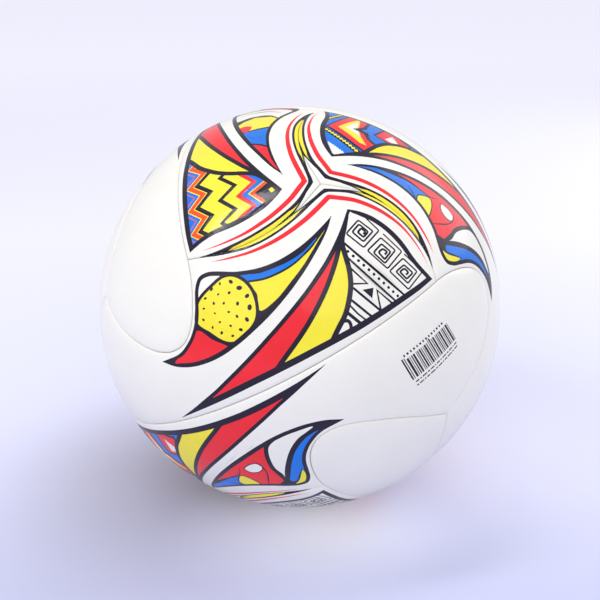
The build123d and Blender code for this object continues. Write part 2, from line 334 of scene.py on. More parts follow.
class Artwork:
    """Shapes painted in order on a panel's chart, each kept inside the clip set at the time."""

    def __init__(self):
        self.shapes = []      # (ink, list of polygons, clip polygon or None)
        self.chains = []      # closed polylines that must become mesh edges
        self.clip = None

    def fill(self, ink, points, edge=True):
        points = np.asarray(points, float)
        self.shapes.append((ink, [points], self.clip))
        if edge:
            self.chains.append(points)

    def blob(self, ink, points):
        """A filled smooth outline, handed back."""
        outline = smooth(points, closed=True)
        self.fill(ink, outline)
        return outline

    def band(self, ink, left, right, closed=False):
        """The strip between two polylines of the same number of points."""
        if closed:
            self.chains += [left, right]
            left, right = np.vstack([left, left[:1]]), np.vstack([right, right[:1]])
        else:
            self.chains.append(np.vstack([left, right[::-1]]))
        quads = [np.array([left[i], left[i + 1], right[i + 1], right[i]])
                 for i in range(len(left) - 1)]
        self.shapes.append((ink, quads, self.clip))

    def line(self, points, width, closed=False):
        """A navy line; width is a number, or several spread evenly along it."""
        points = np.asarray(points, float)
        widths = np.interp(np.linspace(0, 1, len(points)), np.linspace(0, 1, np.size(width)),
                           np.atleast_1d(width))
        reach = normals(points, closed) * widths[:, None] / 2
        self.band(NAVY, points + reach, points - reach, closed)

    def curve(self, points, width):
        self.line(smooth(points), width)

    def dot(self, x, y, radius, sides=14, stretch=1.0, turn=0.0):
        angles = np.linspace(0, 2 * math.pi, sides, endpoint=False)
        along, across = radius * stretch * np.cos(angles), radius * np.sin(angles)
        cosine, sine = math.cos(turn), math.sin(turn)
        self.fill(NAVY, np.stack([x + cosine * along - sine * across,
                                  y + sine * along + cosine * across], 1))

    def border(self, edge, side, table):
        """A navy strip on one side of an edge: 1 left, -1 right; (part of the way, width)."""
        widths = look_up(table, np.linspace(0, 1, len(edge)))
        self.band(NAVY, edge, shifted(edge, side * widths[:, None]))

    def colour(self, points):
        """The last ink painted at each point."""
        x, y = points.T
        inks = np.zeros(len(points), np.int32)
        for ink, polygons, clip in self.shapes:
            for polygon in polygons:
                low, high = polygon.min(0), polygon.max(0)
                hit = np.nonzero((x >= low[0]) & (x <= high[0])
                                 & (y >= low[1]) & (y <= high[1]))[0]
                hit = hit[inside(polygon, x[hit], y[hit])]
                if clip is not None:
                    hit = hit[inside(clip, x[hit], y[hit])]
                inks[hit] = ink
        return inks


# ------------------------------------------------------------------ bands along the arms
# mm from the star corner along an arm, mm from its seam or mm wide
BAND_OUTER = [(0, 4.9), (4, 4.4), (8, 3.7), (12, 3.2), (16, 3.0), (25, 3.0), (35, 2.95),
              (40, 2.8), (46, 2.45), (52, 1.9), (58, 1.2), (64, 0.5), (69, 0.02)]
BAND_INNER = [(0, 2.9), (4, 2.5), (8, 2.05), (12, 1.7), (16, 1.75), (25, 1.9), (35, 1.8),
              (40, 1.65), (46, 1.25), (50, 0.8), (54, 0.02), (70, 0.0)]
FORK = [(0, 2.9), (4, 2.5), (8, 2.0), (12, 1.3), (16, 0.6), (19, 0.15), (21, 0.0), (24, 0.0)]
FORK_LINE = [(9, 0.02), (14, 0.75), (24, 0.5), (34, 0.02)]
YELLOW_GAP = [(9, 0.02), (14, 0.75), (24, 0.5), (34, 0.0)]
RED_MIDDLE = [(0, 7.0), (8, 6.6), (15, 6.1), (25, 5.7), (35, 5.2), (45, 4.5), (55, 3.7),
              (62, 3.1), (68, 2.6)]
RED_WIDTH = [(0, 2.4), (15, 2.3), (25, 2.1), (35, 1.8), (45, 1.3), (55, 0.8)]
CORNER_MITRE = 0.577          # along over away where two arms' bands meet at the corner


def arm_side(stations, offsets, second):
    """Chart points beside an arm; a station of 0 lies on the corner's mitre.

    The first arm runs from the star corner at the outline's start, the second at its end."""
    line = SEAMS["arm"] @ CYCLE.T if second else SEAMS["arm"]
    run = lengths(line) * BALL_R
    inward = np.cross(line, tangents(line)) * (1 if second else -1)
    stations = np.where(stations == 0, CORNER_MITRE * offsets, stations)
    return to_chart(np.array([
        unit(point_at(along, run, line) + point_at(along, run, inward) * away / BALL_R)
        for along, away in zip(stations, offsets)]))


def paint_arms(art, red_shift):
    """Half of each arm's banding lies on this panel, along two edges of the outline."""
    for second, red_end in ((False, 66.0), (True, 62.0)):

        def band(ink, stations, outer, inner):
            art.band(ink, arm_side(stations, outer, second), arm_side(stations, inner, second))

        along = np.concatenate([[0], np.arange(4, 68.5, 1.5), [69]])
        band(NAVY, along, look_up(BAND_OUTER, along), look_up(BAND_INNER, along))

        # the white fork runs out to a point between two navy lines
        along = np.arange(9.0, 34.1, 1.0)
        fork = look_up(FORK, along)
        edge = fork + look_up(FORK_LINE, along)
        band(NAVY, along, np.maximum(look_up(BAND_INNER, along), edge), fork)

        along = np.arange(14.0, 54.1, 1.0)
        low = look_up(FORK, along) + look_up(YELLOW_GAP, along)
        room = np.maximum(look_up(BAND_INNER, along), low) - low
        band(YELLOW, along, low + room * np.clip((along - 14.0) / 7.0, 0, 1) + 0.01, low)

        along = np.concatenate([[0], np.arange(5, red_end, 1.5), [red_end]])
        middle = look_up(RED_MIDDLE, along) + red_shift * np.clip(1 - along / 40, 0, 1)
        half = look_up(RED_WIDTH + [(red_end, 0.02)], along) / 2
        band(RED, along, middle + half, middle - half)


# ------------------------------------------------------------------ cells all panels share
# Chart x, y (mm). The block is a long triangle, split by two dividers into a field at its
# right and two wedges; the curved cell lies above it.
BLOCK_RIGHT = smooth([
    (79.2, 9.9), (84.5, 7.6), (90.0, 4.0), (94.7, -0.7), (98.7, -6.0), (101.9, -11.6),
    (104.2, -17.3), (106.2, -23.2), (109.2, -29.6), (114.8, -38.8)])
BLOCK_LOW = smooth([
    (114.8, -38.8), (103.3, -41.9), (91.9, -44.1), (81.6, -45.9), (72.2, -47.3), (63.3, -48.5),
    (55.0, -49.2), (47.0, -49.8), (39.1, -50.3), (31.3, -50.8), (23.5, -51.2), (15.6, -51.6),
    (7.5, -51.9), (-1.0, -52.3), (-9.9, -52.6), (-19.6, -52.8), (-30.1, -52.9), (-42.0, -53.0)])
BLOCK_LEFT = smooth([
    (79.2, 9.9), (72.8, 1.4), (67.9, -4.2), (63.2, -8.9), (58.3, -13.2), (53.1, -17.1),
    (48.5, -20.3), (43.7, -23.3), (38.8, -26.1), (34.2, -28.5), (28.4, -31.4), (22.5, -34.1),
    (16.3, -36.8), (10.4, -39.2), (3.3, -41.8), (-4.2, -44.3), (-12.2, -46.8), (-20.5, -48.8),
    (-29.5, -50.8), (-42.0, -53.0)])
FIELD_DIVIDER = smooth([
    (74.6, 1.6), (70.6, -5.5), (69.7, -12.4), (69.1, -19.1), (67.3, -26.2), (63.9, -32.7),
    (59.5, -38.7), (54.0, -43.5), (49.4, -47.6)])
WEDGE_DIVIDER = smooth([
    (69.8, -5.4), (65.2, -12.6), (60.4, -18.8), (55.0, -24.8), (48.4, -30.9), (41.2, -36.6),
    (33.6, -41.6), (26.0, -46.0), (20.2, -49.4)])
CURVED_LOW = smooth([
    (70.1, 8.2), (66.2, 2.4), (61.4, -2.9), (55.6, -8.2), (50.2, -12.7), (45.6, -16.0),
    (40.9, -19.1), (36.0, -21.9), (31.8, -24.1), (26.0, -26.7), (20.1, -28.9), (13.6, -31.0),
    (8.1, -32.4), (0.5, -33.7), (-7.6, -33.9), (-16.7, -32.6), (-25.4, -29.3), (-32.7, -24.0)])
CURVED_UP = smooth([
    (70.1, 8.2), (64.3, 4.5), (58.0, 1.0), (51.8, -1.7), (45.6, -3.6), (38.5, -4.8),
    (30.0, -4.6), (20.8, -2.4), (13.8, 0.7), (8.4, 2.7), (3.4, 2.4), (0.0, -1.4), (-2.1, -6.3),
    (-4.6, -12.5), (-8.0, -17.4), (-13.2, -21.6), (-21.0, -24.6), (-32.7, -24.0)])


def part(chain, start, end):
    """The stretch of a chain between its points nearest to start and end."""
    i, j = (int(np.linalg.norm(chain - np.array(place), axis=1).argmin())
            for place in (start, end))
    return chain[i:j + 1] if i <= j else chain[j:i + 1][::-1]


BLOCK = np.vstack([BLOCK_RIGHT, BLOCK_LOW[1:], BLOCK_LEFT[::-1][1:-1]])
FIELD = np.vstack([
    [(79.6, 7.6)],
    shifted(BLOCK_RIGHT, -1.5)[4:-2],
    shifted(part(BLOCK_LOW, (112.0, -39.6), (50, -49.5)), -1.6)[1:],
    FIELD_DIVIDER[::-1][1:]])
YELLOW_WEDGE = np.vstack([
    FIELD_DIVIDER[3:-1],
    shifted(part(BLOCK_LOW, (53, -49.4), (24, -51.2)), -1.3),
    WEDGE_DIVIDER[::-1][1:]])
RED_WEDGE = np.vstack([
    WEDGE_DIVIDER[3:-1],
    shifted(part(BLOCK_LOW, (24, -51.2), (-16, -52.7)), -1.0),
    part(BLOCK_LEFT, (-14.0, -47.3), (67, -5))])
CURVED_CELL = np.vstack([CURVED_LOW, CURVED_UP[::-1][1:-1]])


def paint_cells(art, ground, paint_field, paint_curved):
    """The outlined cells; the two functions fill the field and the curved cell."""
    art.fill(NAVY, BLOCK)
    art.clip = FIELD
    art.fill(ground, FIELD, edge=False)
    paint_field(art)
    art.clip = None
    art.fill(YELLOW, YELLOW_WEDGE, edge=False)
    art.fill(RED, RED_WEDGE, edge=False)
    art.clip = BLOCK
    art.border(BLOCK_LOW, -1, [(0, 3.0), (0.1, 3.3), (0.5, 3.2), (0.75, 3.2), (0.86, 3.0),
                               (1, 0.05)])
    art.border(BLOCK_RIGHT, -1, [(0, 0.4), (0.04, 1.8), (0.12, 2.7), (0.5, 3.1), (1, 2.6)])
    art.border(BLOCK_LEFT, 1, [(0, 0.4), (0.02, 1.6), (0.06, 2.5), (0.3, 2.0), (0.8, 1.8),
                               (0.88, 1.9), (1, 0.05)])
    art.line(WEDGE_DIVIDER, 2.3)
    art.line(FIELD_DIVIDER, 2.6)
    art.clip = None
    art.fill(NAVY, CURVED_CELL)
    art.clip = CURVED_CELL
    paint_curved(art)
    art.clip = None
    art.border(CURVED_LOW, -1, [(0, 0.3), (0.12, 1.7), (0.5, 2.4), (0.9, 2.0), (1, 0.05)])
    art.border(CURVED_UP, 1, [(0, 0.2), (0.1, 1.3), (0.5, 2.0), (0.9, 1.8), (1, 0.05)])


# ------------------------------------------------------------------ fields
# Chart corners of the square spirals, from the outside in.
SPIRALS = (
    [(86.8, 3.3), (91.4, -5.0), (80.0, -11.5), (74.0, -2.4), (82.5, 2.9), (88.0, -4.6),
     (81.0, -8.6), (77.2, -2.4), (82.1, 0.7), (85.3, -4.3), (81.9, -6.5), (79.8, -3.2),
     (82.5, -1.6), (83.9, -4.1), (82.3, -4.9)],
    [(93.0, -7.2), (100.1, -18.8), (88.4, -25.2), (81.3, -13.5), (90.9, -8.9), (96.5, -17.3),
     (88.0, -22.2), (84.0, -15.3), (90.0, -12.1), (93.5, -17.4), (88.6, -20.3), (86.7, -15.8),
     (89.7, -14.7), (91.6, -16.9), (89.6, -17.9)],
    [(101.0, -20.4), (109.0, -32.8), (96.4, -39.2), (89.0, -26.8), (99.3, -22.5),
     (105.4, -31.7), (97.2, -36.0), (92.5, -28.1), (98.6, -26.0), (102.4, -31.7),
     (97.3, -33.6), (94.7, -28.8), (98.1, -27.8), (99.8, -30.7), (97.7, -31.3)])


def rounded(points):
    """A polyline with its corners cut by two short chords."""
    points = np.asarray(points, float)
    out = [points[0]]
    for before, corner, after in zip(points, points[1:], points[2:]):
        back, ahead = before - corner, after - corner
        back_run, ahead_run = np.linalg.norm(back), np.linalg.norm(ahead)
        cut = min(0.8, 0.35 * back_run, 0.35 * ahead_run)
        back, ahead = back / back_run, ahead / ahead_run
        out += [corner + back * cut, corner + (back + ahead) * cut * 0.28, corner + ahead * cut]
    out.append(points[-1])
    return np.array(out)


def field_spirals(art):
    """Square spirals, a dotted band and line work."""
    for path in SPIRALS:
        art.line(rounded(path), [0.8, 0.9, 1.05, 1.15])
    # the two lines beside the dots: ends, part of the length added at each, width
    for start, end, before, after, width in (
            ((70.7, -5.7), (92.3, -40.4), 0.06, 0.06, 1.15),
            ((70.3, -13.8), (86.5, -41.9), 0.04, 0.05, 1.05)):
        start, end = np.array(start), np.array(end)
        art.line([start - (end - start) * before, end + (end - start) * after], width)
    for x in np.linspace(0, 1, 11):
        art.dot(71.6 + 17.2 * x, -11.1 - 29.1 * x, 0.78)
    art.line([(69.6, -18.6), (75.2, -28.8), (66.4, -25.9)], 1.05)
    art.fill(NAVY, [(71.7, -30.8), (77.5, -31.8), (75.0, -36.5)])
    for points, width in (
            ([(66.6, -26.6), (77.0, -43.8)], 1.15),
            ([(84.9, -43.4), (78.8, -33.5), (77.1, -44.0)], 1.15),
            ([(63.9, -32.0), (71.8, -45.2)], 1.2),
            ([(62.6, -34.2), (65.2, -40.4), (68.5, -45.8)], 0.9),
            ([(60.2, -37.2), (65.5, -46.6)], 1.6)):
        art.line(points, width)
    art.curve([(56.6, -41.2), (59.4, -41.8), (60.2, -43.8), (59.4, -47.0)], 1.7)


# Ink and top edge (mm over the block's lower edge) of each zigzag band, from the lowest up.
ZIGZAG_START = -7.0
ZIGZAGS = ((BLUE, 3.4), (ORANGE, 4.2), (BLUE, 6.6), (YELLOW, 7.4), (ORANGE, 11.0),
           (YELLOW, 11.7), (NAVY, 15.2), (YELLOW, 25.3), (NAVY, 28.4), (YELLOW, 35.4),
           (RED, 38.6), (BLUE, 42.0), (YELLOW, 42.8), (ORANGE, 45.6), (NAVY, 66.0))


def over_low_edge(points):
    """Chart points from (x, height over the block's lower edge) pairs."""
    edge_x, edge_y = BLOCK_LOW[::-1].T
    out = []
    for x, height in points:
        slope = (np.interp(x + 2, edge_x, edge_y) - np.interp(x - 2, edge_x, edge_y)) / 4
        up = np.array((-slope, 1.0)) / math.hypot(1, slope)
        out.append(np.array((x, np.interp(x, edge_x, edge_y))) + up * height)
    return np.array(out)


def zigzag(height, swing=4.1, run=7.75):
    return over_low_edge([(121.0 - run * k, height + (swing if k % 2 else -swing))
                          for k in range(11)])


def field_zigzag(art):
    """Stacked zigzag bands, from blue and orange at the lower edge to a small navy tip."""
    low = ZIGZAG_START
    for ink, high in ZIGZAGS:
        art.band(ink, zigzag(high), zigzag(low))
        low = high
    diamond = np.array([(1.7, 0.2), (0.1, 1.7), (-1.7, -0.2), (-0.1, -1.7)])
    art.fill(YELLOW, np.array((80.2, 4.6)) + diamond)


def toothed(points, size=0.5):
    """A closed outline with small square steps along its edges."""
    points = np.asarray(points, float)
    out = []
    for start, end in zip(points, np.roll(points, -1, 0)):
        span = end - start
        run = np.linalg.norm(span)
        count = max(1, int(round(run / (3.2 * size))))
        if count == 1:
            out.append(start)
            continue
        step = np.array((-span[1], span[0])) / run * size * 0.9
        for k in range(count):
            middle = start + span * (k + 0.5) / count
            out += [start + span * k / count, middle, middle - step,
                    start + span * (k + 1) / count - step]
    return np.array(out)


def rhomb_chain(art, start, end):
    """Small yellow rhombs on a navy strip."""
    start, end = np.array(start), np.array(end)
    art.line([start, end], 3.7)
    run = np.linalg.norm(end - start)
    count = int(run / 2.3)
    along = (end - start) / run
    across = np.array((-along[1], along[0]))
    for k in range(count):
        centre = start + (end - start) * (k + 0.5) / count
        art.fill(YELLOW, [centre - along * 1.3, centre + across * 1.25,
                          centre + along * 1.3, centre - across * 1.25])


# Ink, tooth size (mm) and chart corners of the stepped shapes, bottom layer first.
STEPS = (
    (RED, 0.5, [(98.5, -14.0), (97.8, -28.0), (97.0, -46.0), (86.2, -46.0), (84.2, -33.0),
                (82.4, -26.2), (75.0, -19.4), (68.0, -18.0), (68.5, -7.9), (77.6, -9.0)]),
    (YELLOW, 0.5, [(94.0, -17.8), (93.0, -30.0), (91.4, -43.4), (88.0, -35.6), (84.2, -25.4),
                   (79.0, -18.6), (72.4, -13.6), (76.4, -12.4)]),
    (WHITE, 0.4, [(90.6, -21.2), (90.2, -29.0), (89.6, -36.6), (87.0, -30.4), (84.8, -24.9),
                  (81.8, -21.6), (78.4, -18.3)]),
    (NAVY, 0.5, [(87.4, -23.2), (83.4, -33.0), (75.6, -23.4)]),
    (BLUE, 0.5, [(83.2, -26.4), (81.4, -33.0), (76.2, -26.6)]),
    (NAVY, 0.5, [(76.6, -28.2), (76.0, -47.0), (56.0, -45.0), (61.8, -28.8)]),
    (RED, 0.5, [(75.2, -29.4), (74.8, -46.0), (57.8, -43.6), (62.8, -30.0)]),
    (WHITE, 0.5, [(70.4, -31.6), (69.0, -42.0), (63.0, -36.4), (64.8, -32.0)]))


def field_steps(art):
    """Nested stepped shapes between two chains of small rhombs."""
    art.fill(WHITE, toothed([(88.4, 0.9), (79.8, 8.0), (76.6, 2.4)]))
    rhomb_chain(art, (100.0, -10.4), (68.0, -3.4))
    rhomb_chain(art, (105.4, -17.0), (101.0, -45.0))
    art.fill(NAVY, [(99.4, -13.1), (98.8, -28.0), (98.0, -47.0), (84.6, -47.0), (82.4, -34.0),
                    (80.0, -25.6), (73.0, -20.6), (67.0, -19.4), (67.0, -6.4), (77.6, -7.6)])
    for ink, tooth, corners in STEPS:
        art.fill(ink, toothed(corners, tooth))


# ------------------------------------------------------------------ curved cells
# x, y and radius of the dome's spots
SPOTS = [
    (3.2, -7.6, 0.55), (7.4, -5.0, 0.7), (12.0, -4.4, 0.5), (17.0, -5.6, 0.8),
    (19.6, -9.6, 1.0), (21.6, -14.2, 0.85), (20.8, -19.2, 1.0), (17.6, -23.6, 0.85),
    (13.2, -26.6, 0.7), (8.6, -27.6, 0.55), (4.4, -24.4, 0.6), (1.4, -20.6, 0.5),
    (-1.4, -15.8, 0.55), (0.8, -11.4, 0.45), (14.6, -9.8, 0.6), (16.4, -15.6, 0.7),
    (14.0, -20.6, 0.6), (9.6, -23.2, 0.5), (5.6, -19.8, 0.45), (10.6, -13.0, 0.5),
    (6.2, -11.2, 0.55), (5.0, -15.4, 0.4), (11.2, -17.4, 0.5), (9.6, -8.4, 0.45)]


def curved_dome(art):
    """Yellow spotted dome between a blue sliver, a yellow fan and a red foot."""
    art.blob(YELLOW, [(66.5, 3.6), (55.8, -4.4), (48.0, -7.9), (40.6, -9.9), (32.0, -10.2),
                      (24.3, -9.0), (26.0, -15.0), (24.6, -22.4), (33.0, -20.6),
                      (42.0, -15.6), (50.0, -10.4), (58.5, -3.6)])
    art.blob(BLUE, [(60.0, -0.2), (52.0, -4.6), (45.0, -6.6), (38.2, -7.2), (29.6, -6.9),
                    (21.6, -4.2), (24.3, -8.6), (31.9, -10.2), (40.9, -9.7), (48.2, -7.9),
                    (54.7, -4.4)])
    art.curve([(24.3, -8.6), (31.9, -10.2), (40.9, -9.7), (48.2, -7.7), (56.0, -3.6),
               (62.0, 0.6)], [0.9, 1.0, 0.8, 0.4])
    art.fill(WHITE, [(12.6, 1.9), (8.4, 1.5), (3.8, 1.0), (0.6, -1.2), (-1.6, -6.0),
                     (-0.6, -8.0), (6.0, -6.4), (13.4, -4.0)])
    art.blob(RED, [(-6.5, -18.9), (-1.0, -25.5), (4.4, -31.6), (-3.5, -32.6), (-15.0, -31.1),
                   (-25.2, -27.4), (-14.6, -24.2)])
    art.clip = None
    dome = art.blob(YELLOW, [
        (-1.2, -7.8), (2.0, -5.8), (8.0, -3.6), (14.2, -2.0), (19.3, -3.5), (23.2, -8.0),
        (24.8, -13.8), (24.0, -20.4), (21.3, -25.5), (16.5, -28.6), (11.1, -30.6),
        (6.4, -30.4), (2.4, -27.4), (-0.9, -22.8), (-5.3, -16.6), (-3.3, -11.1)])
    art.clip = dome
    for i, (x, y, radius) in enumerate(SPOTS):
        art.dot(x, y, radius, sides=12, stretch=1.35, turn=0.7 * i)
    art.clip = None
    art.line(dome, 1.5, closed=True)


def curved_leaf(art):
    """Blue, yellow and red leaf with a white blade and a blue tail."""
    art.fill(BLUE, [(67.4, 5.9), (59.7, -2.4), (53.0, -6.2), (45.6, -10.4), (38.0, -13.6),
                    (32.0, -16.3), (29.0, -9.0), (34.0, -4.4), (45.8, -3.4), (58.0, 1.6)])
    art.fill(RED, [(54.0, -9.0), (46.7, -11.1), (38.4, -13.6), (32.2, -15.6), (28.6, -12.4),
                   (25.8, -8.0), (25.0, -3.0), (18.8, -1.0), (12.6, -4.8), (12.4, -12.5),
                   (11.6, -20.0), (8.6, -26.0), (5.4, -32.4), (20.0, -31.0), (36.0, -23.0),
                   (48.0, -16.0)])
    art.curve([(56.0, -6.6), (46.7, -11.1), (38.4, -13.6), (31.4, -16.0), (27.6, -21.4)],
              [0.9, 0.9, 1.0, 0.7, 0.15])
    patch = art.blob(YELLOW, [(36.2, -9.2), (34.4, -12.4), (31.4, -15.0), (28.8, -13.4),
                              (26.6, -9.4), (25.6, -4.6), (30.6, -4.4), (34.4, -5.8)])
    art.line(patch, 0.7, closed=True)
    art.curve([(43.0, -9.0), (38.6, -7.6), (34.6, -5.6)], [0.2, 0.8, 0.4])
    art.curve([(22.2, -3.4), (19.0, -8.6), (16.4, -13.6), (15.6, -19.2), (17.6, -24.2)],
              [0.3, 0.8, 0.6, 0.2])
    oval = art.blob(WHITE, [(25.6, -19.8), (21.0, -22.0), (17.0, -21.6), (15.9, -18.0),
                            (19.2, -15.6), (23.6, -16.2)])
    art.line(oval, 0.6, closed=True)
    # blade
    art.blob(WHITE, [(11.6, -3.6), (9.9, -9.4), (10.6, -15.4), (9.4, -21.1), (7.6, -25.8),
                     (5.0, -29.4), (1.4, -31.2), (-2.9, -31.9), (-9.4, -31.6), (-19.0, -29.6),
                     (-10.0, -27.4), (-2.2, -22.6), (4.4, -15.2), (8.2, -9.6)])
    art.curve([(12.4, -2.0), (10.9, -8.6), (11.6, -15.4), (10.2, -21.8), (8.2, -26.6),
               (5.2, -31.8)], [0.8, 2.2, 2.2, 2.0])
    art.curve([(12.4, -1.6), (8.8, -8.2), (3.4, -15.6), (-3.2, -22.4), (-10.8, -26.8),
               (-22.0, -28.6)], [1.2, 2.0, 2.0, 2.0, 1.0])
    # tail
    art.blob(BLUE, [(9.8, -3.2), (6.4, -8.6), (1.4, -15.4), (-4.8, -21.6), (-13.0, -25.9),
                    (-20.4, -26.0), (-13.4, -22.6), (-6.6, -17.0), (-2.2, -10.2), (2.6, -3.2),
                    (6.0, -1.4)])
    art.blob(YELLOW, [(9.6, 0.9), (5.8, -1.6), (2.6, -5.4), (0.2, -8.2), (0.6, -3.4),
                      (3.0, 0.2), (6.2, 1.6)])
    art.curve([(10.4, 0.4), (6.2, -2.2), (2.8, -5.8), (-0.6, -9.4)], [0.5, 1.0, 0.4])


def curved_fan(art):
    """White and yellow fan with blue and red slivers."""
    art.fill(RED, [(68.0, 6.6), (58.0, 2.0), (51.4, -1.2), (49.0, -7.0), (48.2, -12.4),
                   (55.6, -6.6), (63.0, -0.2)])
    art.fill(BLUE, [(51.2, -1.2), (42.0, -2.6), (31.8, -3.4), (34.0, -11.0), (37.0, -19.8),
                    (43.0, -16.6), (49.0, -12.0), (49.4, -6.4)])
    art.curve([(51.8, -0.8), (49.4, -6.6), (48.2, -13.0)], 1.1)
    art.fill(YELLOW, [(30.8, -3.2), (22.4, -1.6), (19.0, -8.0), (18.4, -16.9), (22.6, -22.0),
                      (27.9, -25.0), (36.4, -20.8), (33.4, -11.0)])
    art.curve([(31.4, -2.8), (34.0, -11.0), (37.0, -20.6)], 1.2)
    art.blob(RED, [(36.6, -17.6), (31.4, -15.6), (29.2, -19.4), (31.8, -23.6)])
    art.blob(WHITE, [(22.8, -2.6), (14.0, 0.2), (8.0, -0.6), (4.2, -8.4), (2.2, -18.0),
                     (2.6, -27.6), (8.6, -31.2), (20.4, -27.4), (16.6, -19.4), (16.8, -9.4)])
    art.curve([(24.0, -2.4), (18.2, -9.0), (17.4, -17.8), (22.6, -23.6), (26.6, -27.4)],
              [0.9, 1.3, 1.4, 0.8])
    art.curve([(12.6, -5.0), (8.6, -12.6), (8.0, -21.0), (10.4, -27.0)], [0.2, 1.2, 0.2])
    art.blob(RED, [(5.4, -0.6), (1.6, -2.6), (-1.0, -9.0), (-3.4, -15.6), (0.4, -17.6),
                   (2.0, -9.6)])
    art.blob(YELLOW, [(-0.4, -19.6), (-6.6, -19.8), (-15.4, -24.8), (-24.0, -26.2),
                      (-14.0, -30.4), (-4.0, -32.0), (0.4, -29.4)])
    art.curve([(-4.6, -18.0), (-2.0, -24.6), (-4.6, -32.4)], 0.9)


# ------------------------------------------------------------------ bars and dashes
BAR_WIDTHS = [0.9, 0.5, 1.3, 0.4, 0.7, 1.1, 0.4, 0.6, 1.0, 0.5, 0.4,
              1.2, 0.6, 0.4, 0.9, 0.5, 1.1, 0.4, 0.7, 0.5, 1.2, 0.4]
BAR_GAPS = [0.55, 0.8, 0.5, 0.7, 0.5, 0.9, 0.45, 0.6, 0.5, 0.75, 0.5]
LONG_BARS = (0, 1, 13, 14, 27, 28)
# height over the bars' feet, height of a dash, start of the row, gap, widths of its dashes
DASH_ROWS = ((-2.9, 1.3, 2.2, 1.2, (0.9, 1.1)),
             (14.3, 0.8, 1.0, 0.7, (2.2, 0.9, 3.1, 1.4, 2.6, 0.7)),
             (16.6, 0.8, 0.6, 0.7, (1.2, 2.8, 0.8, 2.0, 3.4)))


def paint_bars(art):
    """A block of plain bars with rows of short dashes beside it."""
    start, end = np.array((-70.9, -27.6)), np.array((-105.0, -20.2))
    bar = np.array((1.55, 12.6))
    along = (end - start) / np.linalg.norm(end - start)
    rise = bar / np.linalg.norm(bar)
    x, i = 0.0, 0
    while x < 34.0:
        width = BAR_WIDTHS[i % len(BAR_WIDTHS)]
        foot = start + along * x - rise * (1.3 if i in LONG_BARS else 0.0)
        art.fill(NAVY, [foot, foot + along * width,
                        start + along * (x + width) + bar, start + along * x + bar])
        x += width + BAR_GAPS[i % len(BAR_GAPS)]
        i += 1
    for height, tall, x, gap, widths in DASH_ROWS:
        i = 0
        while x < 33.0:
            width = widths[i % len(widths)]
            foot = start + along * x + rise * height
            tip = foot + along * width
            art.fill(NAVY, [foot, tip, tip + rise * tall, foot + rise * tall])
            x += width + gap
            i += 1


# shift of the arms' red band (mm), ground of the field, painters of field and curved cell
DESIGNS = [(0.3, WHITE, field_spirals, curved_dome),
           (-0.6, YELLOW, field_zigzag, curved_fan),
           (0.0, BLUE, field_steps, curved_leaf)]
PANEL_DESIGN = [0, 2, 1, 0, 1, 0, 2, 1, 2, 1, 0, 2]
BAR_PANEL, VALVE_PANEL = 1, 4

# ------------------------------------------------------------------ panel meshes
VALVE_LON, VALVE_LAT = math.radians(-38.0), math.radians(17.0)
VALVE_LOCAL = np.array((math.cos(VALVE_LAT) * math.cos(VALVE_LON),
                        math.cos(VALVE_LAT) * math.sin(VALVE_LON), math.sin(VALVE_LAT)))
CLEAR_PART = 0.93             # a ring point this much closer to the rim than its ring is left out


def axes_across(axis, hint):
    """Two directions square to an axis."""
    first = unit(np.cross(axis, hint))
    return first, np.cross(axis, first)


def hole_circle(radius):
    """A circle round the valve hole, in the chart."""
    first, second = axes_across(VALVE_LOCAL, (0.3, 0.2, 0.9))
    sine = radius / BALL_R
    return to_chart(np.array([
        VALVE_LOCAL * math.sqrt(1 - sine * sine)
        + sine * (math.cos(angle) * first + math.sin(angle) * second)
        for angle in np.linspace(0, 2 * math.pi, HOLE_SIDES, endpoint=False)]))


def grid_points(outline, spacing, clearance):
    """A triangular grid within the outline, kept clear of the rim."""
    (x_start, y), (x_end, y_end) = outline.min(0), outline.max(0)
    points, row = [], 0
    while y < y_end:
        x = x_start + (spacing / 2 if row % 2 else 0)
        while x < x_end:
            points.append((x, y))
            x += spacing
        y += spacing * 0.866
        row += 1
    points = np.array(points)
    distance, _ = rim_distance(to_sphere(points))
    return points[inside(outline, points[:, 0], points[:, 1]) & (distance > clearance)]


